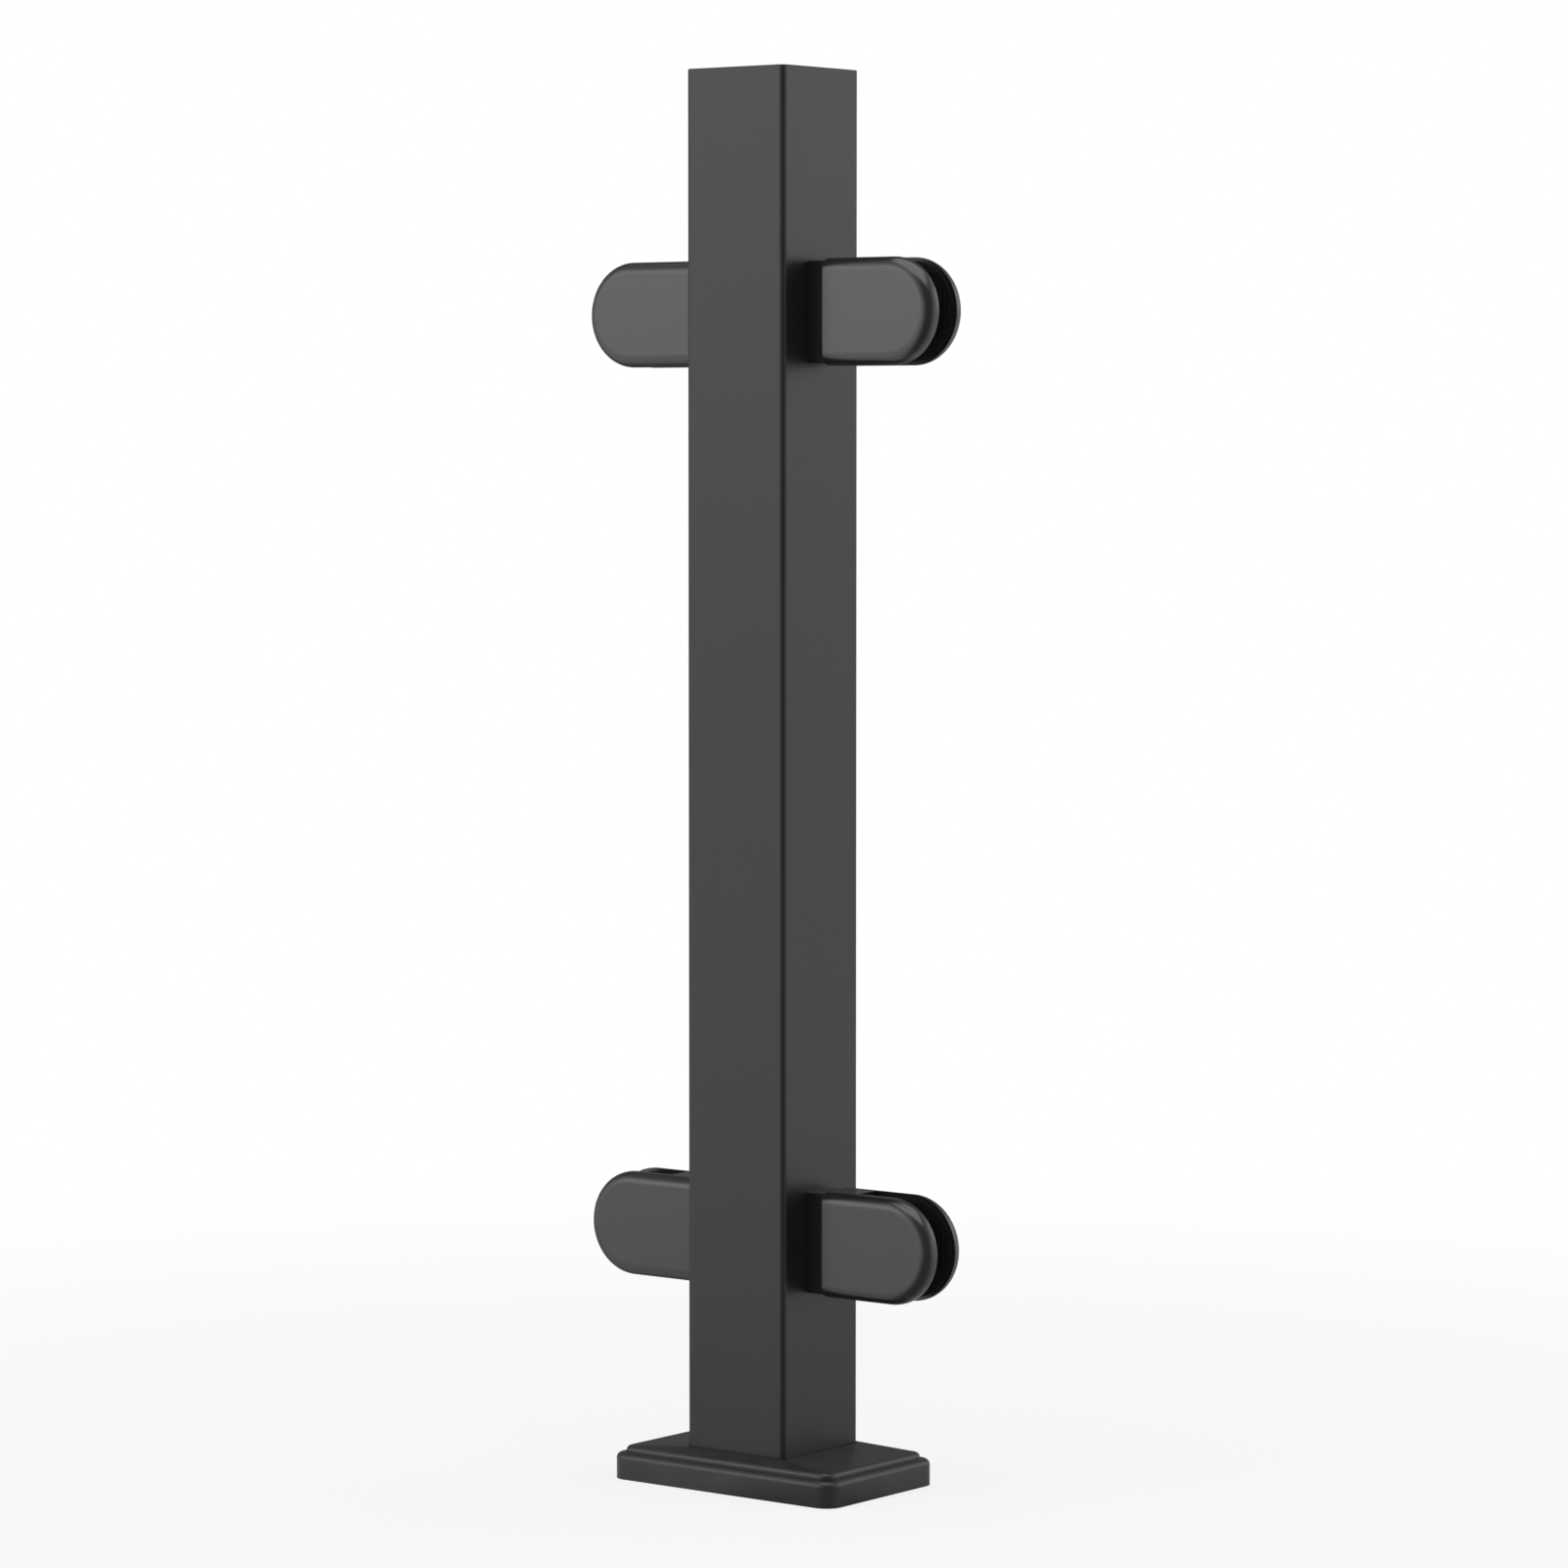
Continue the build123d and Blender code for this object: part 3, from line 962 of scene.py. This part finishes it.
@dataclass(frozen=True)
class SoftBox:
    """A rectangular soft light that looks at the post."""

    name: str
    azimuth: float
    elevation: float
    distance: float
    width: float
    height: float
    radiance: float

    def build(self, target: Vector) -> None:
        """Makes the light.

        Args:
            target: The point it looks at.
        """
        data = bpy.data.lights.new(self.name, "AREA")
        data.shape = "RECTANGLE"
        data.size, data.size_y = self.width, self.height
        data.energy = self.radiance * math.pi * self.width * self.height
        made = bpy.data.objects.new(self.name, data)
        back = direction(self.azimuth, self.elevation)
        made.location = target + back * self.distance
        made.rotation_mode = "QUATERNION"
        made.rotation_quaternion = (-back).to_track_quat("-Z", "Y")
        made.visible_camera = False
        bpy.context.scene.collection.objects.link(made)
        log.info("%s at azimuth %.0f", self.name, self.azimuth)


def direction(azimuth: float, elevation: float) -> Vector:
    """Direction towards a viewer.

    Args:
        azimuth: Degrees, 0 in front and 90 on the right.
        elevation: Degrees above the horizon.

    Returns:
        The unit vector from the object to the viewer.
    """
    a, e = math.radians(azimuth), math.radians(elevation)
    return Vector((math.sin(a) * math.cos(e), -math.cos(a) * math.cos(e), math.sin(e)))


@dataclass
class Studio:
    """White floor and surroundings, soft lights and the camera."""

    azimuth: float = 37.946
    elevation: float = 3.569
    focal_pixels: float = 5698.0
    distance: float = 2.2701
    aim_right: float = 0.004594
    aim_height: float = 0.28616
    sensor: float = 36.0
    clip: tuple[float, float] = (0.05, 200.0)
    floor_reach: float = 40.0
    floor_shaded: tuple[float, float] = (0.30, 1.0)
    floor_lift: float = 0.78
    floor_colour: tuple[float, float, float, float] = (0.88, 0.88, 0.88, 1.0)
    dark_level: float = 0.16
    soft_level: float = 0.4
    wall_azimuth: float = -40.0
    wall_edges: tuple[float, float] = (0.38, 0.97)
    wall_blend: float = 0.1
    right_wall: float = 0.86
    boxes: tuple[SoftBox, ...] = (
        SoftBox("left_box", azimuth=-38.0, elevation=18.5, distance=2.0, width=1.3, height=1.0,
                radiance=0.67),
        SoftBox("right_box", azimuth=143.0, elevation=18.5, distance=2.0, width=1.3, height=1.0,
                radiance=0.50),
        SoftBox("top_box", azimuth=37.0, elevation=84.0, distance=2.2, width=2.8, height=2.8,
                radiance=1.4),
    )
    box_target: Vector = Vector((0.0, 0.0, 0.32))

    def build(self) -> None:
        """Makes the floor, the world, the lights and the camera."""
        self.floor()
        self.world()
        for box in self.boxes:
            box.build(self.box_target)
        self.camera()

    def camera(self) -> None:
        """Makes the camera at the photograph's viewing angle."""
        data = bpy.data.cameras.new("camera")
        data.sensor_fit = "HORIZONTAL"
        data.sensor_width = self.sensor
        data.lens = self.sensor * self.focal_pixels / IMAGE_SIDE
        data.clip_start, data.clip_end = self.clip
        made = bpy.data.objects.new("camera", data)
        back = direction(self.azimuth, self.elevation)
        turn = math.radians(self.azimuth)
        side = Vector((math.cos(turn), math.sin(turn), 0.0))
        aim = side * self.aim_right + Vector((0.0, 0.0, self.aim_height))
        made.location = aim + back * self.distance
        made.rotation_mode = "QUATERNION"
        made.rotation_quaternion = (-back).to_track_quat("-Z", "Y")
        bpy.context.scene.collection.objects.link(made)
        bpy.context.scene.camera = made

    def floor(self) -> None:
        """Makes a pale floor that shades near the post and is plain white further out."""
        reach = self.floor_reach
        mesh = bpy.data.meshes.new("floor")
        square = [(-reach, -reach, 0.0), (reach, -reach, 0.0), (reach, reach, 0.0), (-reach, reach, 0.0)]
        mesh.from_pydata(square, [], [(0, 1, 2, 3)])
        floor = bpy.data.objects.new("floor", mesh)
        bpy.context.scene.collection.objects.link(floor)
        made, tree = blank_material("floor_white")
        place = tree.place()
        away = tree.add("ShaderNodeVectorMath", {"operation": "LENGTH"}, {0: place}, "Value")
        far = away.ramp(*self.floor_shaded)
        rays = Rays(tree)
        wall = self.wall(tree, tree.add("ShaderNodeVectorMath", {"operation": "NORMALIZE"}, {0: place}))
        near = tree.add("ShaderNodeBsdfDiffuse", None, {"Color": self.floor_colour})
        bright, dark = (tree.add("ShaderNodeEmission", None, {"Color": WHITE, "Strength": level})
                        for level in (1.0, self.dark_level))
        seen = rays.camera * (self.floor_lift + far * (1.0 - self.floor_lift)) + rays.mirrored * far
        lit = tree.add("ShaderNodeMixShader", None, {0: seen, 1: near, 2: bright})
        mixed = tree.add("ShaderNodeMixShader", None, {0: rays.mirrored * (1.0 - wall), 1: lit, 2: dark})
        tree.add("ShaderNodeOutputMaterial", None, {"Surface": mixed})
        mesh.materials.append(made)

    def wall(self, tree: Tree, towards: Sock) -> Sock:
        """Marks the directions of the two white walls, which stand opposite each other.

        Args:
            tree: The shader tree.
            towards: Direction from the post, of length 1.

        Returns:
            1 at the left wall, a little less at the right one, and 0 elsewhere.
        """
        aside = tree.add("ShaderNodeVectorMath", {"operation": "DOT_PRODUCT"},
                         {0: towards, 1: tuple(direction(self.wall_azimuth, 0.0))}, "Value")
        level = aside.ramp(-self.wall_blend, self.wall_blend, self.right_wall, 1.0)
        return aside.math("ABSOLUTE", aside).ramp(*self.wall_edges) * level

    def world(self) -> None:
        """Makes surroundings that are seen white and light the post softly from both sides."""
        world = bpy.data.worlds.new("studio")
        world.use_nodes = True
        bpy.context.scene.world = world
        tree = Tree(world.node_tree)
        rays = Rays(tree)
        wall = self.wall(tree, tree.add("ShaderNodeTexCoord", out="Generated"))
        soft, dark, white = (tree.add("ShaderNodeBackground", None, {"Color": WHITE, "Strength": level})
                             for level in (self.soft_level, self.dark_level, 1.0))
        shown = tree.add("ShaderNodeMixShader", None, {0: wall, 1: dark, 2: white})
        around = tree.add("ShaderNodeMixShader", None, {0: rays.mirrored, 1: soft, 2: shown})
        mixed = tree.add("ShaderNodeMixShader", None, {0: rays.camera, 1: around, 2: white})
        tree.add("ShaderNodeOutputWorld", None, {"Surface": mixed})


class Rays:
    """Kinds of light path that show the background."""

    def __init__(self, tree: Tree) -> None:
        """Adds the light path node.

        Args:
            tree: The shader tree.
        """
        self.camera = tree.add("ShaderNodeLightPath", out="Is Camera Ray")
        outputs = self.camera.socket.node.outputs
        glossy = Sock(tree, outputs["Is Glossy Ray"])
        self.mirrored = glossy.maximum(Sock(tree, outputs["Is Transmission Ray"]))


def main() -> None:
    """Builds the post's looks in order."""
    logging.basicConfig(level=logging.INFO, format="%(name)s: %(message)s")
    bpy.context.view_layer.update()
    scene = bpy.context.scene
    scene.view_settings.view_transform = "Standard"
    finishes = Finishes()
    Post(finishes).build()
    Foot(finishes).build()
    ribs, screws = pad_rib_tree(), screw_tree()
    for level in Level:
        for side in Side:
            GlassClamp(level, side, finishes, ribs, screws).build()
    Studio().build()


if __name__ == "__main__":
    main()
